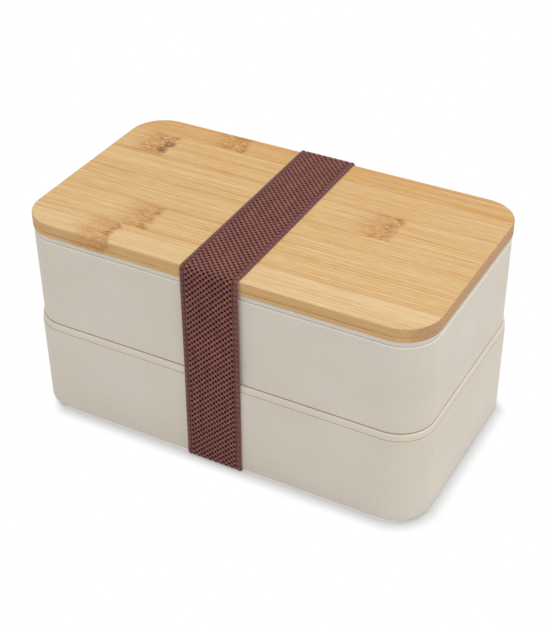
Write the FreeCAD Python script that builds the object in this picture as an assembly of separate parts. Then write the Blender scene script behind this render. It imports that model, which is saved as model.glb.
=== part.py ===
import FreeCAD, Part
import math
import os
from FreeCAD import Vector

os.makedirs("parts", exist_ok=True)

# All sizes are in millimetres. X runs along the box, Y to its back, Z up from the surface it stands on.

# Bamboo board of the lid. Every outline of the pile is this one, set in or out by a named amount.
lid_length = 185.0
lid_width = 104.0
corner_radius = 16.0
board_thickness = 6.4
board_top_round = 1.0
board_under_bevel = 0.4
tongue_depth = 5.6
tongue_bevel = 0.8
groove_depth = 1.0
groove_height = 1.4

# Silicone gasket on the board's tongue.
seal_inset = 0.4
flange_height = 2.4
skirt_depth = 4.6
skirt_thickness = 1.6
skirt_gap = 0.9
fin_clearance = 0.35
fin_height = 1.2
fin_pitch = 1.9
tongue_clearance = 0.1
bead_clearance = 0.2

# Injection-moulded containers. Both have the same height, wall and foot.
container_height = 41.8
wall = 2.2
floor = 2.4
outer_draft = 0.2
inner_draft = 0.6
rim_bevel = 0.4
foot_bevel = 0.5
inside_fillet = 6.0
foot_width = 7.0
foot_recess = 0.9
upper_inset = 0.3
lower_overhang = 0.6

# Lid of the lower container.
middle_overhang = 0.3
middle_edge = 3.2
middle_top_bevel = 1.0
middle_under_bevel = 0.2
plate_thickness = 2.2
plug_depth = 5.0
plug_thickness = 1.6
plug_gap = 0.9
plug_bevel = 0.5
island_clearance = 0.5
island_play = 0.3
island_bevel = 0.25

# Woven elastic loop, lapped and sewn on the back.
strap_width = 27.0
strap_thickness = 1.1
strap_offset = 0.6
strap_clearance = 0.3
lap_length = 18.0
thread_width = 0.6
thread_rise = 0.35
stitch_margin = 2.5
stitch_pitch = 2.6
stitch_swing = 2.2
row_spacing = 9.0

# Heights of the pile, from the strap's underside up.
foot_z = strap_thickness
lower_rim_z = foot_z + container_height
middle_top_z = lower_rim_z + middle_edge
upper_rim_z = middle_top_z + container_height
board_under_z = upper_rim_z + flange_height
board_top_z = board_under_z + board_thickness


def plan(inset, z):
    """The lid's outline at height z, set in by inset, or out if it is negative."""
    a = lid_length / 2 - inset
    b = lid_width / 2 - inset
    r = corner_radius - inset
    mid = r * (1 - math.sqrt(0.5))
    edges = []
    for turn in range(4):
        half, side = (a, b) if turn % 2 == 0 else (b, a)
        edges.append(Part.LineSegment(Vector(r - half, -side, z), Vector(half - r, -side, z)).toShape())
        start = Vector(half - r, -side, z)
        through = Vector(half - mid, mid - side, z)
        end = Vector(half, r - side, z)
        edges.append(Part.Arc(start, through, end).toShape())
        for edge in edges[-2:]:
            edge.rotate(Vector(0, 0, z), Vector(0, 0, 1), 90 * turn)
    return Part.Wire(edges)


def block(inset, low, high, inset_high=None):
    """Solid between two heights; its outline tapers evenly if a second inset is given."""
    if inset_high is None:
        return Part.Face(plan(inset, low)).extrude(Vector(0, 0, high - low))
    return Part.makeLoft([plan(inset, low), plan(inset_high, high)], True, True)


def ring(outer_inset, inner_inset, low, high):
    """Frame between two outlines."""
    return block(outer_inset, low, high).cut(block(inner_inset, low, high))


def edges_at(shape, z):
    """Edges that lie flat at height z."""
    found = []
    for edge in shape.Edges:
        box = edge.BoundBox
        if abs(box.ZMin - z) < 1e-4 and abs(box.ZMax - z) < 1e-4:
            found.append(edge)
    return found


def rounded(shape, z, radius):
    """The shape with its edges at height z rounded."""
    return shape.makeFillet(radius, edges_at(shape, z))


def bevelled(shape, z, size):
    """The shape with its edges at height z taken off at 45 degrees."""
    return shape.makeChamfer(size, edges_at(shape, z))


def container(inset, foot, rim):
    """Drafted open box on a raised foot ring, with an eased rim and a wide fillet round its inside floor."""
    body = block(inset + outer_draft, foot, rim, inset)
    body = bevelled(body, foot, foot_bevel)
    cavity = block(inset + wall + inner_draft, foot + floor, rim, inset + wall)
    cavity = rounded(cavity, foot + floor, inside_fillet)
    body = bevelled(body.cut(cavity), rim, rim_bevel)
    return body.cut(block(inset + outer_draft + foot_width, foot, foot + foot_recess))


lower_container = container(-lower_overhang, foot_z, lower_rim_z)
upper_container = container(upper_inset, middle_top_z, upper_rim_z)

# The middle lid lies on the lower rim. Its plug drops inside, and its low island fits the upper box's foot ring.
plug_inset = wall - lower_overhang + plug_gap
plug_bottom_z = lower_rim_z - plug_depth
island_inset = upper_inset + outer_draft + foot_width + island_clearance
island_top_z = middle_top_z + foot_recess - island_play
edge_plate = block(-middle_overhang, lower_rim_z, middle_top_z)
edge_plate = bevelled(edge_plate, middle_top_z, middle_top_bevel)
edge_plate = bevelled(edge_plate, lower_rim_z, middle_under_bevel)
plug = bevelled(block(plug_inset, plug_bottom_z, lower_rim_z), plug_bottom_z, plug_bevel)
island = bevelled(block(island_inset, middle_top_z, island_top_z), island_top_z, island_bevel)
pocket = block(plug_inset + plug_thickness, plug_bottom_z, middle_top_z - plate_thickness)
middle_lid = edge_plate.fuse([plug, island]).removeSplitter().cut(pocket)

# The gasket closes the upper rim with its flange; two tapered fins on its skirt wipe the box's inner wall.
skirt_inset = upper_inset + wall + skirt_gap
skirt_bottom_z = upper_rim_z - skirt_depth
fin_inset = upper_inset + wall + fin_clearance
bore_inset = skirt_inset + skirt_thickness
tongue_inset = bore_inset + tongue_clearance
groove_z = board_under_z - tongue_depth / 2 - groove_height / 2
flange = block(seal_inset, upper_rim_z, board_under_z)
seal_solids = [block(skirt_inset, skirt_bottom_z, upper_rim_z)]
for count in range(2):
    tip_z = skirt_bottom_z + fin_height / 2 + fin_pitch * count
    seal_solids.append(block(skirt_inset, tip_z - fin_height / 2, tip_z, fin_inset))
    seal_solids.append(block(fin_inset, tip_z, tip_z + fin_height / 2, skirt_inset))
bore = block(bore_inset, skirt_bottom_z, board_under_z)
bead_inset = tongue_inset + groove_depth - bead_clearance
bead = ring(bore_inset, bead_inset, groove_z + bead_clearance, groove_z + groove_height - bead_clearance)
lid_seal = flange.fuse(seal_solids).removeSplitter().cut(bore).fuse(bead).removeSplitter()

# The board has a rebate round its underside; the tongue that is left carries the gasket in a groove.
tongue_bottom_z = board_under_z - tongue_depth
board = rounded(block(0, board_under_z, board_top_z), board_top_z, board_top_round)
board = bevelled(board, board_under_z, board_under_bevel)
tongue = bevelled(block(tongue_inset, tongue_bottom_z, board_under_z), tongue_bottom_z, tongue_bevel)
groove = ring(bore_inset, tongue_inset + groove_depth, groove_z, groove_z + groove_height)
bamboo_lid = board.fuse(tongue).removeSplitter().cut(groove)

# The strap stands straight between its bends, a little clear of the widest outline of the pile.
widest = max(lower_overhang, middle_overhang)
strap_inside = lid_width / 2 + widest + strap_clearance
top_bend = board_top_round + widest
foot_bend = foot_bevel + strap_clearance
strap_left = strap_offset - strap_width / 2


def loop(grow):
    """Solid inside the strap's path, seen along X, grown outwards by grow."""
    side = strap_inside + grow
    low = foot_z - grow
    high = board_top_z + grow
    corners = []
    for sense, level, bend in ((-1, low, foot_bend), (1, low, foot_bend), (1, high, top_bend), (-1, high, top_bend)):
        up = 1 if level == low else -1
        radius = bend + grow
        mid = radius * (1 - math.sqrt(0.5))
        beside = Vector(strap_left, sense * side, level + up * radius)
        through = Vector(strap_left, sense * (side - mid), level + up * mid)
        below = Vector(strap_left, sense * (side - radius), level)
        order = (beside, through, below) if sense * up < 0 else (below, through, beside)
        corners.append(order)
    edges = []
    for count, corner in enumerate(corners):
        edges.append(Part.Arc(corner[0], corner[1], corner[2]).toShape())
        edges.append(Part.LineSegment(corner[2], corners[(count + 1) % 4][0]).toShape())
    return Part.Face(Part.Wire(edges)).extrude(Vector(strap_width, 0, 0))


band = loop(strap_thickness).cut(loop(0))

# The band's end lies over its start on the back, and a zigzag seam in two rows holds it.
back_y = strap_inside + strap_thickness
lap_z = (foot_z + board_top_z) / 2
lap = Part.makeBox(strap_width, strap_thickness, lap_length, Vector(strap_left, back_y, lap_z - lap_length / 2))
elastic_strap = band.fuse(lap).removeSplitter()

seam_y = back_y + strap_thickness
seam_length = strap_width - 2 * stitch_margin
stitches = int(seam_length / stitch_pitch)
step = seam_length / stitches


def zigzag(middle_z):
    """One row of zigzag stitches as a flat thread on the lap's face."""
    above = []
    below = []
    for count in range(stitches + 1):
        x = strap_left + stitch_margin + step * count
        z = middle_z + stitch_swing / 2 * (1 if count % 2 else -1)
        above.append(Vector(x, seam_y, z + thread_width / 2))
        below.append(Vector(x, seam_y, z - thread_width / 2))
    outline = Part.makePolygon(above + below[::-1] + above[:1])
    return Part.Face(outline).extrude(Vector(0, thread_rise, 0))


# The thread turns back at one side, so both rows are one piece of sewing.
turn_low = lap_z - row_spacing / 2 - stitch_swing / 2
turn = Part.makeBox(
    thread_width, thread_rise, row_spacing, Vector(strap_left + stitch_margin, seam_y, turn_low)
)
rows = [zigzag(lap_z - row_spacing / 2), zigzag(lap_z + row_spacing / 2)]
strap_stitching = turn.fuse(rows).removeSplitter()

bamboo_lid.exportStep("parts/bamboo_lid.step")
lid_seal.exportStep("parts/lid_seal.step")
upper_container.exportStep("parts/upper_container.step")
middle_lid.exportStep("parts/middle_lid.step")
lower_container.exportStep("parts/lower_container.step")
elastic_strap.exportStep("parts/elastic_strap.step")
strap_stitching.exportStep("parts/strap_stitching.step")
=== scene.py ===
import math
import random

import bmesh
import bpy
from mathutils import Matrix, Vector


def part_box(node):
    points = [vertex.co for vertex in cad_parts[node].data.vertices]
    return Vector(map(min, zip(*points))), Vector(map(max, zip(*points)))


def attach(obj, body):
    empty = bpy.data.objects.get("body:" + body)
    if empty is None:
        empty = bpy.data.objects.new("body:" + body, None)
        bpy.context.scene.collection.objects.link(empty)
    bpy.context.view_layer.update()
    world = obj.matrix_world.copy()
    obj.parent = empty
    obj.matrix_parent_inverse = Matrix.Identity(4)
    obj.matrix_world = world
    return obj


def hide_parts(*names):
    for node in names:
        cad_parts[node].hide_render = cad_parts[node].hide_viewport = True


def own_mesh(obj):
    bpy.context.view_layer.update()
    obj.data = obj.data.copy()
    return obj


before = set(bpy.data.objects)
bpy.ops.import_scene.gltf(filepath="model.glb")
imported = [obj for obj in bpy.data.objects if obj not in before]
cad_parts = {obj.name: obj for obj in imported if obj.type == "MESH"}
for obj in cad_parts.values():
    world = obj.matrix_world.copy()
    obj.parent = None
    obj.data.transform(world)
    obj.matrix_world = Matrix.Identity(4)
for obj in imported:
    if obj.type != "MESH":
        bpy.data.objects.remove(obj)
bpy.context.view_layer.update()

# Lower container: the bottom tier, a deep open box moulded in one shot from a pale, matt, filled plastic.
# Its walls lean out for the mould, its rim and foot are eased, and a low ring under the floor carries it.
# Every outline of the pile is one rectangle of corner centres, swept round at some reach.
MM = 0.001
corner_centre = Vector((76.5, 36.0)) * MM
corner_steps = 16
box_wall = 2.2 * MM
box_floor = 2.4 * MM
box_outer_draft = 0.2 * MM
box_inner_draft = 0.6 * MM
box_rim_round = 0.5 * MM
lower_foot_round = 0.5 * MM
lower_foot_gap = 0.05 * MM
foot_gap_depth = 1.6 * MM
box_inside_round = 6.0 * MM
foot_ring_width = 7.0 * MM
foot_ring_height = 0.9 * MM
foot_ring_round = 0.3 * MM
mould_crease = math.radians(38)


def set_outline(face, reach, height):
    """Places a face's outline at a reach from the corner centres and at a height."""
    for vert in face.verts:
        near_x = max(-corner_centre.x, min(corner_centre.x, vert.co.x))
        near_y = max(-corner_centre.y, min(corner_centre.y, vert.co.y))
        side = Vector((vert.co.x - near_x, vert.co.y - near_y, 0)).normalized()
        vert.co = Vector((near_x, near_y, height)) + side * reach


def drawn(steps, roundings, is_ring=False):
    """A closed form drawn through rounded outlines, each a reach and a height, with some of the edges eased.

    A rounding names the number of an outline, its radius and its segments. In a ring, the last outline joins
    the first.
    """
    bm = bmesh.new()
    bmesh.ops.create_grid(bm, x_segments=1, y_segments=1, size=1)
    first_reach, first_height = steps[0]
    spread = (corner_centre.x + first_reach, corner_centre.y + first_reach, 1)
    bmesh.ops.scale(bm, vec=spread, verts=bm.verts)
    bmesh.ops.bevel(
        bm, geom=bm.verts[:], affect="VERTICES", offset=first_reach, offset_type="OFFSET",
        segments=corner_steps, profile=0.5, material=-1,
    )
    bm.faces.ensure_lookup_table()
    start = face = bm.faces[0]
    set_outline(face, first_reach, first_height)
    outlines = [list(face.edges)]
    for reach, height in steps[1:]:
        made = bmesh.ops.extrude_face_region(bm, geom=[face])["geom"]
        if face is not start:
            bmesh.ops.delete(bm, geom=[face], context="FACES_ONLY")
        face = next(part for part in made if isinstance(part, bmesh.types.BMFace))
        set_outline(face, reach, height)
        outlines.append(list(face.edges))
    if is_ring:
        bmesh.ops.delete(bm, geom=[start, face], context="FACES_ONLY")
        bmesh.ops.bridge_loops(bm, edges=outlines[0] + outlines[-1])
    for number, radius, segments in roundings:
        bmesh.ops.bevel(
            bm, geom=outlines[number], affect="EDGES", offset=radius, offset_type="OFFSET",
            segments=segments, profile=0.5, material=-1,
        )
    bmesh.ops.recalc_face_normals(bm, faces=bm.faces)
    return bm


def finished(name, bm, finish, crease=math.pi):
    """The mesh as a smooth object with its finish; broad faces and edges past the crease stay crisp."""
    mesh = bpy.data.meshes.new(name)
    bm.to_mesh(mesh)
    bm.free()
    mesh.shade_smooth()
    mesh.set_sharp_from_angle(angle=crease)
    mesh.materials.append(finish)
    piece = bpy.data.objects.new(name, mesh)
    bpy.context.scene.collection.objects.link(piece)
    shading = piece.modifiers.new("broad_faces", "WEIGHTED_NORMAL")
    shading.weight = 100
    shading.keep_sharp = True
    return piece


def open_box(node, foot_round, foot_gap):
    """An open box in the place of a node, from its underside out, up, over the rim and down to its floor."""
    low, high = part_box(node)
    reach = high.x - corner_centre.x
    foot_reach = reach - box_outer_draft
    ring_reach = foot_reach - foot_ring_width
    steps = [
        (ring_reach, low.z + foot_ring_height),
        (ring_reach, low.z),
        (foot_reach - foot_gap_depth, low.z),
        (foot_reach - foot_gap_depth, low.z + foot_gap),
        (foot_reach, low.z + foot_gap),
        (reach, high.z),
        (reach - box_wall, high.z),
        (reach - box_wall - box_inner_draft, low.z + box_floor),
    ]
    roundings = [
        (1, foot_ring_round, 2),
        (4, foot_round, 4),
        (5, box_rim_round, 3),
        (6, box_rim_round, 3),
        (7, box_inside_round, 8),
    ]
    return drawn(steps, roundings)


def paint(red, green, blue):
    """A colour as a camera shows it, 0 to 255, in the linear light that shaders use."""
    linear = []
    for part in (red, green, blue):
        share = part / 255
        linear.append(share / 12.92 if share <= 0.04045 else ((share + 0.055) / 1.055) ** 2.4)
    return (*linear, 1.0)


class Shade:
    """A value that varies over a surface. Plain arithmetic on it adds Math nodes to its material."""

    def __init__(self, tree, socket=None):
        self.tree = tree
        self.socket = socket

    def node(self, kind, inputs=None, output=0, **settings):
        """A new node: its settings are made first, then its inputs are set or linked."""
        made = self.tree.nodes.new("ShaderNode" + kind)
        for name, value in settings.items():
            if name == "stops":
                ramp = made.color_ramp
                while len(ramp.elements) < len(value):
                    ramp.elements.new(1.0)
                for element, (place, colour) in zip(ramp.elements, value):
                    element.position = place
                    element.color = colour
            elif name == "steps_between":
                made.color_ramp.interpolation = value
            else:
                setattr(made, name, value)
        for name, value in (inputs or {}).items():
            if isinstance(value, Shade):
                self.tree.links.new(value.socket, made.inputs[name])
            else:
                made.inputs[name].default_value = value
        return Shade(self.tree, made.outputs[output])

    def lay(self, skin, name):
        """Feeds this value to a socket of the material's shader."""
        self.tree.links.new(self.socket, skin.inputs[name])

    def vector(self, operation, other=(0, 0, 0), output="Vector"):
        """Vector arithmetic on a place or a direction."""
        return self.node("VectorMath", {0: self, 1: other}, output=output, operation=operation)

    def parts(self):
        """The X, Y and Z of a place or a direction."""
        outputs = self.node("SeparateXYZ", {0: self}).socket.node.outputs
        return [Shade(self.tree, part) for part in outputs]

    def worked(self, operation, first, second):
        """Arithmetic on two values."""
        return self.node("Math", {0: first, 1: second}, operation=operation)

    def __add__(self, other):
        return self.worked("ADD", self, other)

    __radd__ = __add__

    def __sub__(self, other):
        return self.worked("SUBTRACT", self, other)

    def __rsub__(self, other):
        return self.worked("SUBTRACT", other, self)

    def __mul__(self, other):
        return self.worked("MULTIPLY", self, other)

    __rmul__ = __mul__

    def __truediv__(self, other):
        return self.worked("DIVIDE", self, other)

    def __abs__(self):
        return self.node("Math", {0: self}, operation="ABSOLUTE")


def new_finish(name, **constants):
    """An empty material: the material, its shader, and a start for its nodes."""
    made = bpy.data.materials.new(name)
    made.use_nodes = True
    skin = made.node_tree.nodes["Principled BSDF"]
    for socket, value in constants.items():
        skin.inputs[socket.replace("_", " ")].default_value = value
    return made, skin, Shade(made.node_tree)


def in_millimetres(start):
    """The place on the piece, in millimetres of the part's own frame."""
    return start.node("TexCoord", output="Object").vector("MULTIPLY", (1000, 1000, 1000))


def noise(place, size, detail=2.0, roughness=0.5):
    """Cloudy values from 0 to 1 whose lumps are as large as size says, in millimetres along X, Y and Z."""
    sized = place.vector("DIVIDE", size)
    inputs = {"Vector": sized, "Scale": 1.0, "Detail": detail, "Roughness": roughness}
    return sized.node("TexNoise", inputs)


def eased(value, low, high):
    """0 below low and 1 above high, with a soft rise between."""
    inputs = {"Value": value, "From Min": low, "From Max": high}
    return value.node("MapRange", inputs, interpolation_type="SMOOTHSTEP")


def mixed(share, first, second):
    """One colour turning into another."""
    return share.node("Mix", {0: share, 6: first, 7: second}, output=2, data_type="RGBA")


def bumped(height, depth, skin):
    """Relief of a height from 0 to 1, as deep as depth, on the shader's normal."""
    inputs = {"Height": height, "Distance": depth, "Strength": 1.0}
    height.node("Bump", inputs).lay(skin, "Normal")


def reach_of(place):
    """How far a point lies outside the rectangle of corner centres, seen from above, in millimetres."""
    any_height = 1000
    centre = (corner_centre.x / MM, corner_centre.y / MM, any_height)
    past_centre = place.vector("ABSOLUTE").vector("SUBTRACT", centre).vector("MAXIMUM")
    return past_centre.vector("LENGTH", output="Value")


cloud_size = (34, 34, 26)
cloud_share = 0.75
cloud_range = (0.3, 0.7)
filler_size = (1.6, 1.6, 1.6)
mould_grain_size = (0.35, 0.35, 0.35)
mould_grain_share = 0.6
mould_grain_depth = 0.02 * MM
plastic_roughness = 0.5
plastic_roughness_spread = 0.12
# The painted highlight along the top of a rim: how far down it reaches, and its pale colour.
rim_highlight_depth = 0.9
painted_rim_highlight = paint(247, 242, 230)
# The painted shade in a joint: a thin brown line, its width, softness, rise and colour.
joint_width = 0.3
joint_soft = 0.25
joint_rise = 0.1
painted_joint_shade = paint(184, 144, 72)


def moulded_plastic(name, pale, deep, rim, rim_highlight_share, joint):
    """Matt plastic with the faint cloudiness of its filler and the fine grain of a spark-eroded mould.

    The top of a rim is painted paler, a painted highlight for light on its rounded edge: rim is its height,
    and the next argument how strong the highlight is.
    Where another piece's edge lies on it, a thin line is painted brown, a painted shade for the gap there:
    joint is that edge's reach, its height, and how far the line turns.
    """
    made, skin, start = new_finish(name, Specular_IOR_Level=0.35)
    place = in_millimetres(start)
    clouds = noise(place, cloud_size, detail=3.0)
    filler = noise(place, filler_size)
    grain = noise(place, mould_grain_size, detail=1.0)
    cloudy = clouds * cloud_share + filler * (1 - cloud_share)
    colour = mixed(eased(cloudy, *cloud_range), deep, pale)
    _, _, height = place.parts()
    # Painted highlight: the top of the rim is painted paler, standing for light on its rounded edge.
    rim_highlight_mask = rim_highlight_share * eased(height, rim / MM - rim_highlight_depth, rim / MM - rim_highlight_depth / 3)
    colour = mixed(rim_highlight_mask, colour, painted_rim_highlight)
    # Painted shade: a thin brown line where another piece's edge lies on it, standing for the shade in the
    # gap.
    joint_reach, joint_height, joint_share = joint
    inward = joint_reach / MM - reach_of(place)
    above = height - joint_height / MM
    joint_shade_mask = eased(inward, -joint_soft, 0) * (1 - eased(inward, joint_width, joint_width + joint_soft))
    joint_shade_mask = joint_shade_mask * eased(above, -joint_soft, 0) * (1 - eased(above, joint_rise, joint_soft))
    colour = mixed(joint_share * joint_shade_mask, colour, painted_joint_shade)
    colour.lay(skin, "Base Color")
    (plastic_roughness + plastic_roughness_spread * clouds).lay(skin, "Roughness")
    bumped(grain * mould_grain_share + filler * (1 - mould_grain_share), mould_grain_depth, skin)
    return made


container_pale = paint(221, 213, 199)
container_deep = paint(216, 207, 192)
# How strong the painted highlight on the upper container's rim is.
container_rim_highlight = 0.58
# How strong the painted shade is where the middle lid's edge lies on the lower container's rim.
container_joint_shade = 0.4
upper_low, upper_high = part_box("upper_container")
_, lower_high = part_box("lower_container")
middle_low, middle_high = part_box("middle_lid")
middle_reach = middle_high.x - corner_centre.x
container_plastic = moulded_plastic(
    "container_plastic", container_pale, container_deep, upper_high.z, container_rim_highlight,
    (middle_reach, lower_high.z, container_joint_shade),
)
lower_shell = open_box("lower_container", lower_foot_round, lower_foot_gap)
lower_box = finished("lower_box_shell", lower_shell, container_plastic, mould_crease)
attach(lower_box, "lower_box")
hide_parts("lower_container")

# Middle lid: the cover of the lower container, moulded in the same plastic in a warmer batch.
# Its edge lies on the rim and shows as a band, its plug drops inside the box, and the low island on top
# fits the ring under the container above.
middle_edge_round = 1.0 * MM
middle_under_round = 0.2 * MM
edge_gap = 0.06 * MM
edge_gap_depth = 1.0 * MM
plate_thickness = 2.2 * MM
plug_gap = 0.9 * MM
plug_thickness = 1.6 * MM
plug_round = 0.5 * MM
island_clearance = 0.5 * MM
island_round = 0.25 * MM
middle_pale = paint(224, 216, 198)
middle_deep = paint(219, 210, 191)
# How strong the painted highlight on the middle lid's top edge is.
middle_rim_highlight = 0.18
# How strong the painted shade is round the foot of the upper container.
middle_joint_shade = 0.75

middle_top = upper_low.z
plug_reach = lower_high.x - corner_centre.x - box_wall - plug_gap
upper_reach = upper_high.x - corner_centre.x
upper_foot_reach = upper_reach - box_outer_draft
island_reach = upper_foot_reach - foot_ring_width - island_clearance
middle_steps = [
    (plug_reach - plug_thickness, middle_top - plate_thickness),
    (plug_reach - plug_thickness, middle_low.z),
    (plug_reach, middle_low.z),
    (plug_reach, lower_high.z),
    (middle_reach - edge_gap_depth, lower_high.z),
    (middle_reach - edge_gap_depth, lower_high.z + edge_gap),
    (middle_reach, lower_high.z + edge_gap),
    (middle_reach, middle_top),
    (island_reach, middle_top),
    (island_reach, middle_high.z),
]
middle_roundings = [
    (1, plug_round, 3),
    (2, plug_round, 3),
    (6, middle_under_round, 2),
    (7, middle_edge_round, 5),
    (9, island_round, 2),
]
middle_plastic = moulded_plastic(
    "middle_lid_plastic", middle_pale, middle_deep, middle_top, middle_rim_highlight,
    (upper_foot_reach, middle_top, middle_joint_shade),
)
middle_lid = finished("middle_lid_cover", drawn(middle_steps, middle_roundings), middle_plastic, mould_crease)
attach(middle_lid, "middle_lid")
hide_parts("middle_lid")

# Upper container: the same moulding in the same plastic as the lower one, a touch narrower.
# Its foot stands on the middle lid, round the island and inside the band, with a fine gap round its outside.
upper_foot_round = 0.12 * MM
upper_foot_gap = 0.24 * MM
upper_shell = open_box("upper_container", upper_foot_round, upper_foot_gap)
upper_box = finished("upper_box_shell", upper_shell, container_plastic, mould_crease)
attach(upper_box, "upper_box")
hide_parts("upper_container")

# Gasket: a soft white silicone ring pushed on to the tongue of the bamboo lid.
# Its flange shows as a white band between bamboo and rim. Two thin fins on its skirt wipe the inner wall of
# the box, and a bead inside snaps into the tongue's groove.
seal_low, seal_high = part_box("lid_seal")
seal_recess = 0.35 * MM
skirt_gap = 0.9 * MM
skirt_thickness = 1.6 * MM
fin_count = 2
fin_clearance = 0.35 * MM
fin_height = 1.2 * MM
fin_pitch = 1.9 * MM
tongue_clearance = 0.1 * MM
tongue_depth = 5.6 * MM
groove_depth = 1.0 * MM
groove_height = 1.4 * MM
bead_clearance = 0.2 * MM
flange_round = 0.3 * MM
lip_gap = 0.08 * MM
lip_depth = 0.8 * MM

seal_reach = seal_high.x - corner_centre.x - seal_recess
skirt_reach = upper_reach - box_wall - skirt_gap
fin_reach = upper_reach - box_wall - fin_clearance
bore_reach = skirt_reach - skirt_thickness
tongue_reach = bore_reach - tongue_clearance
groove_low = seal_high.z - tongue_depth / 2 - groove_height / 2
bead_reach = tongue_reach - groove_depth + bead_clearance
bead_high = groove_low + groove_height - bead_clearance
bead_low = groove_low + bead_clearance
seal_steps = [(bore_reach, seal_low.z)]
for count in range(fin_count):
    root = seal_low.z + fin_pitch * count
    seal_steps.append((skirt_reach, root))
    seal_steps.append((fin_reach, root + fin_height / 2))
    seal_steps.append((skirt_reach, root + fin_height))
seal_steps += [
    (skirt_reach, upper_high.z),
    (seal_reach - lip_depth, upper_high.z),
    (seal_reach - lip_depth, upper_high.z + lip_gap),
    (seal_reach, upper_high.z + lip_gap),
    (seal_reach, seal_high.z),
    (bore_reach, seal_high.z),
    (bore_reach, bead_high),
    (bead_reach, bead_high),
    (bead_reach, bead_low),
    (bore_reach, bead_low),
]
seal_roundings = [(10, flange_round, 3), (11, flange_round, 3)]

silicone_pale = paint(225, 221, 213)
silicone_deep = paint(218, 213, 203)
silicone_cloud_size = (18, 18, 3)
dust_size = (0.5, 0.5, 0.5)
dust_depth = 0.01 * MM
silicone_roughness = 0.42
silicone_roughness_spread = 0.16
silicone, seal_skin, seal_start = new_finish(
    "silicone", Subsurface_Weight=0.25, Subsurface_Radius=(1.0, 0.95, 0.9), Subsurface_Scale=1.2 * MM,
    Specular_IOR_Level=0.4,
)
seal_place = in_millimetres(seal_start)
seal_clouds = noise(seal_place, silicone_cloud_size)
seal_dust = noise(seal_place, dust_size, detail=1.0)
mixed(seal_clouds, silicone_deep, silicone_pale).lay(seal_skin, "Base Color")
(silicone_roughness + silicone_roughness_spread * seal_clouds).lay(seal_skin, "Roughness")
bumped(seal_dust, dust_depth, seal_skin)
gasket = finished("lid_gasket", drawn(seal_steps, seal_roundings, is_ring=True), silicone, mould_crease)
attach(gasket, "lid")
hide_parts("lid_seal")

# Bamboo lid: a board of flat-pressed bamboo strips glued side by side, with the grain along the box.
# It is milled round its outline, its top edge is rounded over, and a rebate underneath leaves a grooved
# tongue that carries the gasket. The surface is sanded and oiled.
lid_low, lid_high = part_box("bamboo_lid")
board_reach = lid_high.x - corner_centre.x
board_round = 0.6 * MM
board_under_round = 0.3 * MM
tongue_round = 0.8 * MM
board_steps = [
    (tongue_reach, lid_low.z),
    (tongue_reach, groove_low),
    (tongue_reach - groove_depth, groove_low),
    (tongue_reach - groove_depth, groove_low + groove_height),
    (tongue_reach, groove_low + groove_height),
    (tongue_reach, seal_high.z),
    (board_reach, seal_high.z),
    (board_reach, lid_high.z),
]
board_roundings = [
    (0, tongue_round, 3),
    (6, board_under_round, 2),
    (7, board_round, 5),
]

# The strips are counted from the front, each cut from another place of a culm. Sizes are in millimetres.
strip_width = 18.85
first_seam = -55.55
strip_count = 6
strip_apart = (410.0, 37.0, 23.0)
strip_tones = (0.85, 0.5, 0.45, 0.45, 0.45, 0.0)
bamboo_pale = paint(230, 200, 153)
bamboo_mid = paint(217, 178, 122)
bamboo_deep = paint(203, 148, 76)
seam_brown = paint(190, 132, 64)

bamboo, wood_skin, wood_start = new_finish("bamboo", Specular_IOR_Level=0.4)
wood_place = in_millimetres(wood_start)
along, across, up = wood_place.parts()
strip_at = (across - first_seam) / strip_width
strip = strip_at.node("Math", {0: strip_at}, operation="FLOOR")
in_strip = strip_at - strip
own_parts = [part + apart * strip for part, apart in zip((along, across, up), strip_apart)]
own_place = strip.node("CombineXYZ", dict(enumerate(own_parts)))


def per_strip(values):
    """A value for each strip of the board, from 0 to 1, counted from the front."""
    stops = [(count / strip_count, (value, value, value, 1)) for count, value in enumerate(values)]
    share = (strip + 0.5) / strip_count
    return share.node("ValToRGB", {"Fac": share}, steps_between="CONSTANT", stops=stops)


# Grain: broad bands, streaks, fibres and short dashes, and bundles of fibre at a pitch that wanders a little.
band_size = (170, 5.0, 9.0)
streak_size = (130, 1.1, 1.1)
fibre_size = (70, 0.5, 0.5)
dash_size = (6.0, 0.9, 0.9)
vein_size = (38, 0.7, 0.7)
vein_range = (0.56, 0.7)
vein_share = 0.35
wander_size = (150, 8.0, 8.0)
wander_turns = 4.0
bundle_patch_length = 45
bundle_patch_pitches = 4.0
bundle_patch_range = (0.3, 0.6)
bundle_shares_by_pitch = {1.45: 0.13, 2.3: 0.06}
seam_reach = (0.1, 1.5)
seam_patch_size = (45, 400, 400)
seam_patch_range = (0.4, 0.62)
seam_share = 0.55

bands = noise(own_place, band_size)
streaks = noise(own_place, streak_size, roughness=0.6)
fibres = noise(own_place, fibre_size, detail=3.0, roughness=0.6)
dashes = noise(own_place, dash_size, detail=1.0)
veins = eased(noise(own_place, vein_size, detail=1.0), *vein_range)
wander = noise(own_place, wander_size)
strip_tone = per_strip(strip_tones)
tone_layers = [(bands, 0.3), (strip_tone, 0.3), (streaks, 0.3), (fibres, 0.7), (dashes, 0.3)]
tone = 0.5
for layer, share in tone_layers:
    tone = tone + share * (layer - 0.5)
for pitch, share in bundle_shares_by_pitch.items():
    turns = 2 * math.pi * ((across + up) / pitch + wander_turns * wander)
    bundles = turns.node("Math", {0: turns}, operation="SINE")
    patch_width = bundle_patch_pitches * pitch
    patches = noise(own_place, (bundle_patch_length, patch_width, patch_width))
    tone = tone + share * bundles * eased(patches, *bundle_patch_range)
tone_stops = [(0.22, bamboo_deep), (0.5, bamboo_mid), (0.78, bamboo_pale)]
wood_colour = tone.node("ValToRGB", {"Fac": tone}, stops=tone_stops)
wood_colour = mixed(vein_share * veins, wood_colour, bamboo_deep)
seam_distance = strip_width * (0.5 - abs(in_strip - 0.5))
seam_patches = eased(noise(own_place, seam_patch_size), *seam_patch_range)
seam = (1 - eased(seam_distance, *seam_reach)) * seam_patches
wood_colour = mixed(seam_share * seam, wood_colour, seam_brown)

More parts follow.
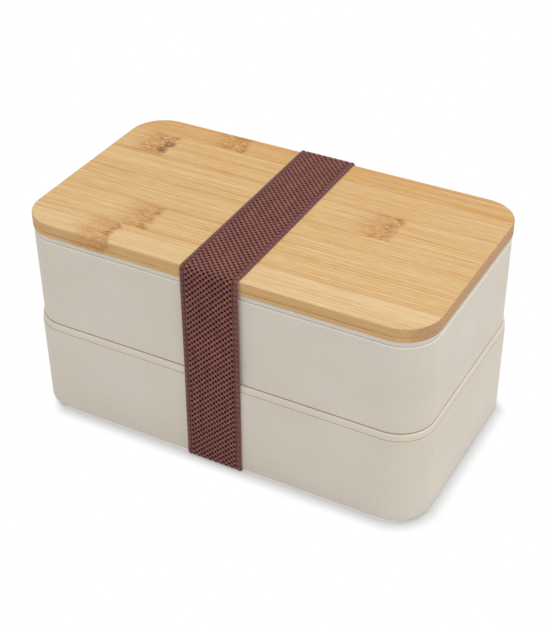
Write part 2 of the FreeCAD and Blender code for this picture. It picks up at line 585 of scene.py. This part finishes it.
# Knuckles: where a culm had a joint, its strip is tanned and flecked across; one of them has a dark scar.
knuckle_span = 200.0
knuckle_places = (-53.0, -44.5, 130.0, 47.5, -72.0, -41.0)
knuckle_strengths = (0.72, 0.7, 0.0, 0.75, 1.0, 1.0)
sway_width = 9.0
sway_size = (400, 5.0, 5.0)
swell_start = (-19.0, -6.0)
swell_end = (3.0, 7.0)
knuckle_start = (-14.0, 0.0)
knuckle_end = (3.0, 6.0)
swell_tan_share = 0.35
swell_streak_range = (0.3, 0.6)
knuckle_tan_share = 0.75
knuckle_tan_least = 0.35
mottle_size = (4.5, 3.0, 3.0)
mottle_range = (0.35, 0.65)
ridge_place = 3.0
ridge_reach = (0.4, 3.2)
ridge_share = 0.6
glint_size = (2.0, 1.1, 1.1)
glint_range = (0.52, 0.66)
glint_share = 0.65
glint_in_swell = 0.35
fleck_size = (1.6, 0.9, 0.9)
fleck_range = (0.5, 0.66)
fleck_share = 0.6
fleck_in_swell = 0.25
knuckle_tan = paint(190, 131, 60)
knuckle_brown = paint(140, 86, 36)
scar_centre = (-69.0, 27.3, 0)
scar_apart = (0, 3.1, 0)
scar_size = (3.8, 3.0, 400)
scar_reach = (0.3, 1.1)
scar_patch_size = (2.2, 2.0, 2.0)
scar_patch_range = (0.3, 0.6)
scar_share = 0.8
scar_brown = paint(104, 66, 52)

knuckle_level = per_strip([place / knuckle_span / 2 + 0.5 for place in knuckle_places])
knuckle_strength = per_strip(knuckle_strengths)
sway = sway_width * (noise(own_place, sway_size, detail=3.0) - 0.5)
from_knuckle = along - 2 * knuckle_span * (knuckle_level - 0.5) + sway
swollen = knuckle_strength * eased(from_knuckle, *swell_start) * (1 - eased(from_knuckle, *swell_end))
knuckle = knuckle_strength * eased(from_knuckle, *knuckle_start) * (1 - eased(from_knuckle, *knuckle_end))
flecks = eased(noise(own_place, fleck_size, roughness=0.6), *fleck_range)
glints = eased(noise(own_place, glint_size, roughness=0.6), *glint_range)
mottle = eased(noise(own_place, mottle_size), *mottle_range)
ridge = knuckle_strength * (1 - eased(abs(from_knuckle - ridge_place), *ridge_reach)) * mottle
swell_tan = swell_tan_share * swollen * eased(streaks, *swell_streak_range)
mottled_tan = knuckle_tan_share * knuckle * (knuckle_tan_least + (1 - knuckle_tan_least) * mottle)
glint_places = glint_in_swell * swollen + (1 - glint_in_swell) * knuckle
fleck_places = fleck_in_swell * swollen + (1 - fleck_in_swell) * knuckle
wood_colour = mixed(swell_tan + mottled_tan, wood_colour, knuckle_tan)
wood_colour = mixed(ridge_share * ridge, wood_colour, knuckle_brown)
wood_colour = mixed(glint_share * glint_places * glints, wood_colour, bamboo_pale)
wood_colour = mixed(fleck_share * fleck_places * flecks, wood_colour, knuckle_brown)
from_scar = wood_place.vector("SUBTRACT", scar_centre).vector("ABSOLUTE").vector("SUBTRACT", scar_apart)
scar_off = from_scar.vector("DIVIDE", scar_size).vector("LENGTH", output="Value")
scar_patches = eased(noise(own_place, scar_patch_size), *scar_patch_range)
scar = (1 - eased(scar_off, *scar_reach)) * scar_patches
wood_colour = mixed(scar_share * scar, wood_colour, scar_brown)

# Edges: the sides show two plies and the glue line between them, and the ends show the pores of the fibres.
end_facing = (0.35, 0.9)
top_facing = (0.3, 0.8)
ply_depth = 4.1
ply_change = (-0.1, 0.1)
lower_ply_share = 0.42
upper_ply_more = 0.1
glue_reach = (0.08, 0.32)
glue_patch_size = (22, 22, 400)
glue_patch_range = (0.3, 0.55)
glue_share = 0.65
end_share = 0.6
pore_size = (60, 0.5, 0.5)
pore_range = (0.22, 0.5)
pore_share = 0.05
pore_more_at_end = 0.55
side_brown = paint(200, 148, 82)
ply_brown = paint(148, 100, 56)
end_brown = paint(188, 144, 104)
pore_brown = paint(116, 78, 46)
oiled_roughness = 0.44
streak_roughness = 0.2
knuckle_roughness = 0.1
fibre_relief = 0.5
streak_relief = 0.3
fleck_relief = 0.4
grain_depth = 0.05 * MM

toward_end, _, toward_top = wood_start.node("TexCoord", output="Normal").parts()
at_end = eased(abs(toward_end), *end_facing)
at_side = 1 - eased(abs(toward_top), *top_facing)
from_glue = up - (lid_high.z / MM - ply_depth)
upper_ply = eased(from_glue, *ply_change)
glue_patches = eased(noise(own_place, glue_patch_size), *glue_patch_range)
glue_line = (1 - eased(abs(from_glue), *glue_reach)) * glue_patches
pore_place = own_place.vector("DIVIDE", pore_size)
pore_distance = pore_place.node("TexVoronoi", {"Vector": pore_place, "Scale": 1.0})
pores = 1 - eased(pore_distance, *pore_range)
wood_colour = mixed(at_side * (lower_ply_share + upper_ply_more * upper_ply), wood_colour, side_brown)
wood_colour = mixed(glue_share * at_side * glue_line, wood_colour, ply_brown)
wood_colour = mixed(end_share * at_end, wood_colour, end_brown)
wood_colour = mixed(pores * (pore_share + pore_more_at_end * at_end), wood_colour, pore_brown)
wood_colour.lay(wood_skin, "Base Color")
(oiled_roughness + streak_roughness * streaks + knuckle_roughness * knuckle).lay(wood_skin, "Roughness")
wood_relief = fibre_relief * fibres + streak_relief * streaks + fleck_relief * knuckle * flecks
bumped(wood_relief, grain_depth, wood_skin)

board = finished("bamboo_board", drawn(board_steps, board_roundings), bamboo, mould_crease)
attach(board, "lid")
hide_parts("bamboo_lid")

# Elastic strap: a woven band of rubber-cored warp and maroon polyester, pulled round the whole pile.
# Its face is an open lattice of raised threads between two beaded edges; the end is lapped over the start
# on the back and sewn down. It lies a little askew, and the box presses it flat underneath.
strap_low, strap_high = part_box("elastic_strap")
strap_slim = 0.45 * MM
strap_width = strap_high.x - strap_low.x - 2 * strap_slim
strap_shift = -1.1 * MM
strap_drift = 1.4 * MM
drift_lead = 25.0 * MM
strap_thickness = 1.1 * MM
strap_side = -strap_low.y - strap_thickness
strap_under = strap_low.z + strap_thickness
strap_over = strap_high.z - strap_thickness
top_bend = 1.6 * MM
foot_bend = 0.8 * MM
bend_cuts = 9
lap_length = 18.0 * MM
lap_rise = 6.0 * MM
lap_bottom = (strap_under + strap_over - lap_length) / 2
lattice_columns = 16
cell_length = 1.32 * MM
# The beaded edge in section: how far in from the side, and how high, in millimetres.
selvage = ((0.0, 0.5), (0.25, 0.85), (0.8, 1.1), (1.45, 1.05), (1.95, 0.7), (2.4, 0.9))
lattice_height = selvage[-1][1] * MM
pit_lip = 0.16 * MM
pit_wall = 0.08 * MM
pit_lip_drop = 0.15 * MM
pit_depth = 0.5 * MM
inner_pit_depth = 0.12 * MM
# How much painted shade the colour gives each kind of corner: the lips of the pits, the groove, the dips of
# the beads and the thread crossings.
lip_painted_shade = 0.6
groove_column = len(selvage) - 2
groove_painted_shade = 0.7
bead_columns = (1, 2, 3)
bead_drop = 0.35 * MM
bead_painted_shade = 0.6
crossing_painted_shade = 0.38
crossing_drop = 0.1 * MM
float_inset = 0.25 * MM
float_rise = 0.2 * MM
weave_slack = 0.06 * MM
weave_seed = 18
pressed_share = 0.25
cut_tolerance = 1e-7

# Each leg is a straight run and the radius of the bend after it: up the back, over, down, under and up.
legs = [
    (strap_over - top_bend - lap_bottom, top_bend),
    (2 * (strap_side - top_bend), top_bend),
    (strap_over - strap_under - top_bend - foot_bend, foot_bend),
    (2 * (strap_side - foot_bend), foot_bend),
    (lap_bottom - strap_under - foot_bend, 0),
]


def bend_length(bend):
    """How much of the strap's face goes round a bend."""
    return math.pi / 2 * (bend + strap_thickness) if bend else 0.0


leg_lengths = [run + bend_length(bend) for run, bend in legs]
pressed_from = sum(leg_lengths[:3]) - bend_length(foot_bend)
pressed_to = sum(leg_lengths[:4])
strap_loop = sum(leg_lengths)
strap_length = strap_loop + lap_length


def round_the_pile(distance, height):
    """Where a point of the flat strap goes, in Y and Z, from the lap up the back, over, down and under."""
    lift = max(0.0, min(1.0, (distance - strap_loop + lap_rise) / lap_rise))
    height += strap_thickness * lift * lift * (3 - 2 * lift)
    heading = math.pi / 2
    place = Vector((strap_side, lap_bottom))
    for run, bend in legs:
        walked = distance if bend == 0 else min(distance, run)
        place += Vector((math.cos(heading), math.sin(heading))) * walked
        distance -= walked
        if bend:
            turned = min(distance / bend_length(bend), 1.0) * math.pi / 2
            centre = place + Vector((-math.sin(heading), math.cos(heading))) * bend
            heading += turned
            place = centre + Vector((math.sin(heading), -math.cos(heading))) * bend
            distance -= turned * (bend + strap_thickness)
    return place + Vector((math.sin(heading), -math.cos(heading))) * height


# The band is woven flat first: X goes across it, Y along it from the start of the lap, and Z out of its face.
columns = [inset * MM for inset, _ in selvage]
heights = [height * MM for _, height in selvage]
lattice_left = columns[-1]
cell_width = (strap_width - 2 * lattice_left) / lattice_columns
columns += [lattice_left + cell_width * (count + 1) for count in range(lattice_columns - 1)]
heights += [lattice_height] * (lattice_columns - 1)
columns += [strap_width - inset * MM for inset, _ in reversed(selvage)]
heights += [height * MM for _, height in reversed(selvage)]
last_column = len(columns) - 1
rows = round(strap_length / cell_length)

weave = bmesh.new()
bmesh.ops.create_grid(weave, x_segments=last_column, y_segments=rows, size=1)
for vert in weave.verts:
    column = round((vert.co.x + 1) / 2 * last_column)
    row = round((vert.co.y + 1) / 2 * rows)
    vert.co = (columns[column], strap_length * row / rows, heights[column])
    if row % 2 and min(column, last_column - column) in bead_columns:
        vert.co.z -= bead_drop


def is_pit(face):
    """True for a cell of the lattice that is open, False for a raised thread, None for the beaded edges."""
    middle = face.calc_center_median()
    column = math.floor((middle.x - lattice_left) / cell_width)
    row = math.floor(middle.y / strap_length * rows)
    return (column + row) % 2 == 0 if 0 <= column < lattice_columns else None


# The threads lie a little unevenly. Each corner also notes how much painted shade it gets, for the colour:
# the pits, the groove, the dips of the beads and the thread crossings are painted darker where shade falls.
pits = [face for face in weave.faces if is_pit(face)]
floats = [face for face in weave.faces if is_pit(face) is False]
painted_shade_layer = weave.verts.layers.float.new("pit")
loom = random.Random(weave_seed)
for vert in weave.verts:
    column = min(range(last_column + 1), key=lambda number: abs(vert.co.x - columns[number]))
    from_edge = min(column, last_column - column)
    if from_edge > groove_column:
        vert[painted_shade_layer] = crossing_painted_shade
        vert.co.z -= crossing_drop
        vert.co.x += loom.uniform(-weave_slack, weave_slack)
        vert.co.y += loom.uniform(-weave_slack, weave_slack)
    elif from_edge == groove_column:
        vert[painted_shade_layer] = groove_painted_shade
    elif vert.co.z < heights[column] - bead_drop / 2:
        vert[painted_shade_layer] = bead_painted_shade

# The same face, pushed down to the underside, closes the band.
under = bmesh.ops.extrude_face_region(weave, geom=weave.faces[:])["geom"]
for part in under:
    if isinstance(part, bmesh.types.BMVert):
        part.co.z = 0
inner_pits = [face for face in under if isinstance(face, bmesh.types.BMFace) and is_pit(face)]
bmesh.ops.recalc_face_normals(weave, faces=weave.faces)


def is_pressed(face):
    """Whether the box stands on this part of the strap."""
    return pressed_from < face.calc_center_median().y < pressed_to


def sunk(faces, thickness, depth):
    """Insets each face by itself and sinks it; where the box stands on the strap, hardly at all."""
    for pressed, share in ((False, 1.0), (True, pressed_share)):
        chosen = [face for face in faces if is_pressed(face) == pressed]
        bmesh.ops.inset_individual(
            weave, faces=chosen, thickness=thickness, depth=-depth * share, use_even_offset=True
        )


def paint_shade(faces, dark):
    """Paints shade at the corners of some faces, from 0 for bare yarn to 1 for the near-black floors of the
    pits.
    """
    for face in faces:
        for vert in face.verts:
            vert[painted_shade_layer] = dark


# The pits get painted shade, darkest at their floors, and the raised threads none.
sunk(pits, pit_lip, pit_lip_drop)
paint_shade(pits, lip_painted_shade)
sunk(pits, pit_wall, pit_depth)
sunk(floats, float_inset, -float_rise)
sunk(inner_pits, pit_lip, inner_pit_depth)
paint_shade(pits + inner_pits, 1.0)
paint_shade(floats, 0.0)

# It is cut across where it bends, its flat layout is kept as a map for the yarn, and it is wound on.
walked = 0.0
for run, bend in legs:
    walked += run
    for count in range(bend_cuts if bend else 0):
        cut = walked + bend_length(bend) * count / (bend_cuts - 1)
        everything = weave.verts[:] + weave.edges[:] + weave.faces[:]
        bmesh.ops.bisect_plane(
            weave, geom=everything, dist=cut_tolerance, plane_co=(0, cut, 0), plane_no=(0, 1, 0)
        )
    walked += bend_length(bend)
flat_map = weave.loops.layers.uv.new("flat")
for face in weave.faces:
    for loop in face.loops:
        loop[flat_map].uv = (loop.vert.co.x / strap_width, loop.vert.co.y / strap_length)
for vert in weave.verts:
    beside, height = round_the_pile(vert.co.y, vert.co.z)
    drift = strap_drift * (1 - math.cos(2 * math.pi * (vert.co.y + drift_lead) / strap_loop)) / 2
    vert.co = (strap_low.x + strap_slim + strap_shift + drift + vert.co.x, beside, height)
bmesh.ops.reverse_faces(weave, faces=weave.faces)

yarn_pale = paint(172, 106, 95)
yarn_deep = paint(98, 58, 52)
edge_brown = paint(112, 72, 66)
# Painted shade: the near-black that the pits, the groove, the bead dips and the crossings are turned to.
painted_pit_shade = paint(16, 9, 9)
yarn_size = (0.16, 1.1, 1.0)
yarn_part = 0.5
twist_size = (0.5, 0.22, 1.0)
twist_part = 0.3
batch_size = (2.2, 16.0, 1.0)
batch_part = 0.2
yarn_range = (0.32, 0.68)
edge_range = (0.41, 0.43)
edge_share = 0.6
painted_shade_range = (0.15, 0.95)
yarn_roughness = 0.78
yarn_roughness_spread = 0.14
yarn_relief = 0.6
twist_relief = 0.4
yarn_depth = 0.08 * MM
elastic, band_skin, band_start = new_finish(
    "woven_elastic", Sheen_Weight=0.15, Sheen_Roughness=0.5, Specular_IOR_Level=0.2,
)
flat_place = band_start.node("UVMap", uv_map="flat")
band_place = flat_place.vector("MULTIPLY", (strap_width / MM, strap_length / MM, 1))
pit = band_start.node("Attribute", output="Fac", attribute_name="pit")
yarn = noise(band_place, yarn_size)
twist = noise(band_place, twist_size, detail=1.0)
batch = noise(band_place, batch_size, detail=1.0)
yarn_tone = yarn_part * yarn + twist_part * twist + batch_part * batch
yarn_colour = mixed(eased(yarn_tone, *yarn_range), yarn_deep, yarn_pale)
band_across, _, _ = flat_place.parts()
at_edge = eased(abs(band_across - 0.5), *edge_range)
yarn_colour = mixed(edge_share * at_edge, yarn_colour, edge_brown)
# Painted shade: the yarn turns near-black as far as its corners carry painted shade.
mixed(eased(pit, *painted_shade_range), yarn_colour, painted_pit_shade).lay(band_skin, "Base Color")
(yarn_roughness + yarn_roughness_spread * yarn).lay(band_skin, "Roughness")
bumped(yarn_relief * yarn + twist_relief * twist, yarn_depth, band_skin)

strap = finished("elastic_band", weave, elastic)
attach(strap, "strap")
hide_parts("elastic_strap")

# Stitching: two zigzag rows of spun polyester thread through both layers of the lap, joined at one side.
# Each stitch comes up through the weave, arches over the face and goes down again.
stitch_low, stitch_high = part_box("strap_stitching")
stitch_count = 8
stitch_swing = 2.2 * MM
stitch_fat = 0.3 * MM
row_spacing = 9.0 * MM
turn_stitches = 3
lap_middle = lap_bottom + lap_length / 2
stitch_step = (stitch_high.x - stitch_low.x) / stitch_count
stitch_left = stitch_low.x + strap_shift
stitch_bed = stitch_high.y - stitch_fat


def sew(bm, start, end):
    """One stitch: a thread that comes up at start, arches over the face and goes down at end."""
    reach = end - start
    size = Matrix.Diagonal((reach.length / 2 + stitch_fat / 2, stitch_fat, stitch_fat, 1))
    turn = Matrix.Rotation(-math.atan2(reach.z, reach.x), 4, "Y")
    place = Matrix.Translation((start + end) / 2)
    bmesh.ops.create_uvsphere(bm, u_segments=10, v_segments=8, radius=1, matrix=place @ turn @ size)


seam_mesh = bmesh.new()
for row in (-1, 1):
    row_height = lap_middle + row * row_spacing / 2
    holes = []
    for count in range(stitch_count + 1):
        swing = stitch_swing / 2 * (1 if count % 2 else -1)
        holes.append(Vector((stitch_left + stitch_step * count, stitch_bed, row_height + swing)))
    for start, end in zip(holes, holes[1:]):
        sew(seam_mesh, start, end)
turn_low = lap_middle - row_spacing / 2 - stitch_swing / 2
turn_step = Vector((0, 0, row_spacing / turn_stitches))
for count in range(turn_stitches):
    start = Vector((stitch_left + stitch_fat, stitch_bed, turn_low)) + turn_step * count
    sew(seam_mesh, start, start + turn_step)

thread_pale = paint(136, 90, 82)
thread_deep = paint(88, 54, 50)
ply_size = (0.22, 0.5, 0.22)
ply_range = (0.35, 0.65)
ply_relief = 0.05 * MM
thread_roughness = 0.6
thread_roughness_spread = 0.2
thread, thread_skin, thread_start = new_finish("sewing_thread", Sheen_Weight=0.2, Specular_IOR_Level=0.3)
plies = noise(in_millimetres(thread_start), ply_size, detail=1.0)
mixed(eased(plies, *ply_range), thread_deep, thread_pale).lay(thread_skin, "Base Color")
(thread_roughness + thread_roughness_spread * plies).lay(thread_skin, "Roughness")
bumped(plies, ply_relief, thread_skin)
stitching = finished("lap_stitching", seam_mesh, thread)
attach(stitching, "strap")
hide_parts("strap_stitching")

# The band was cut shorter than the way round, so it is stretched; the strap and its stitching each get a mesh
# of their own.
for soft in (strap, stitching):
    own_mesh(soft)

# Studio: a white sweep of paper that fades to plain white a little way from the box, under broad soft light.
# What the camera sees of the room, and of the paper away from the box, is white, and their light on the box
# is set apart from that.
# Near the box the camera sees the paper darker than the paper that lights the box, a painted shade, through a
# painted mask
# that shapes the shadow: weaker on the left and back, darker on the right, and lifted by painted light just
# under the box's edge.
sweep_size = 4.0
# The paper the camera sees is darker than the paper that lights the box: a painted shade that deepens its
# shadow.
painted_shade_paper = paint(222, 222, 224)
paper_lighting = paint(246, 246, 247)
shadow_far = 7.2
shadow_least = 0.3
shadow_least_right = 0.09
# Painted light that lifts the shade on the paper just under the box's edge.
painted_light_under_box = 0.3
painted_light_under_box_edge = (-1.2, 0.5)
lit_side = 8.0
room_level = 0.7
camera_place = (0.240136, -0.434574, 0.393724)
camera_turn = (54.838, 0.446, 28.484)
camera_focal_length = 79.133
camera_sensor = 36


def seen_directly(start):
    """1 for what the camera sees straight, in a gloss or through glass, 0 for light that falls on things."""
    rays = start.node("LightPath").socket.node.outputs
    camera, glossy, through = (
        Shade(start.tree, rays[name]) for name in ("Is Camera Ray", "Is Glossy Ray", "Is Transmission Ray")
    )
    return start.worked("MINIMUM", camera + glossy + through, 1.0)


paper, paper_skin, paper_start = new_finish("white_paper", Roughness=0.9, Specular_IOR_Level=0.0)
paper_place = in_millimetres(paper_start)
paper_along, paper_across, _ = paper_place.parts()
end_edge = (corner_centre.x / MM, (corner_centre.x + board_reach) / MM)
back_edge = (corner_centre.y / MM, (corner_centre.y + board_reach) / MM)
left_end = eased(0 - paper_along, *end_edge)
right_end = eased(paper_along, *end_edge)
back = eased(paper_across, *back_edge)
# Painted shadow: the mask that lets the shaded paper show near the box, weaker on the left and back and
# darker on the right.
far_off = reach_of(paper_place) - board_reach / MM + lit_side * (left_end + back)
near_share = shadow_least - (shadow_least - shadow_least_right) * right_end
plain_away = near_share + (1 - near_share) * eased(far_off, 0.0, shadow_far)
# Painted light just under the box's edge.
plain_away = plain_away + painted_light_under_box * (1 - eased(far_off, *painted_light_under_box_edge))
seen = seen_directly(paper_start)
mixed(seen, paper_lighting, painted_shade_paper).lay(paper_skin, "Base Color")
plain = paper_start.node("Emission", {"Strength": 1.0})
shaded = Shade(plain.tree, paper_skin.outputs[0])
paper_shown = plain.node("MixShader", {0: seen * plain_away, 1: shaded, 2: plain})
paper_shown.lay(paper.node_tree.nodes["Material Output"], "Surface")
sweep = bmesh.new()
bmesh.ops.create_grid(sweep, x_segments=1, y_segments=1, size=sweep_size / 2)
floor = finished("floor", sweep, paper)

world = bpy.data.worlds.new("studio")
bpy.context.scene.world = world
world.use_nodes = True
background = world.node_tree.nodes["Background"]
background.inputs["Color"].default_value = (1, 1, 1, 1)
room_seen = seen_directly(Shade(world.node_tree))
(room_level + (1 - room_level) * room_seen).lay(background, "Strength")


def softbox(name, place, aim, size, power):
    """A square diffused lamp at a place, turned to its aim."""
    lamp = bpy.data.lights.new(name, "AREA")
    lamp.size = size
    lamp.energy = power
    holder = bpy.data.objects.new(name, lamp)
    holder.location = place
    holder.rotation_euler = (Vector(aim) - Vector(place)).to_track_quat("-Z", "Y").to_euler()
    bpy.context.scene.collection.objects.link(holder)


softbox("overhead", place=(0.40, 0.10, 1.25), aim=(0, 0, 0.05), size=1.2, power=7.0)

camera_lens = bpy.data.cameras.new("camera")
camera_lens.lens = camera_focal_length
camera_lens.sensor_width = camera_sensor
camera = bpy.data.objects.new("camera", camera_lens)
camera.location = camera_place
camera.rotation_euler = [math.radians(angle) for angle in camera_turn]
bpy.context.scene.collection.objects.link(camera)
bpy.context.scene.camera = camera
bpy.context.scene.view_settings.view_transform = "Standard"
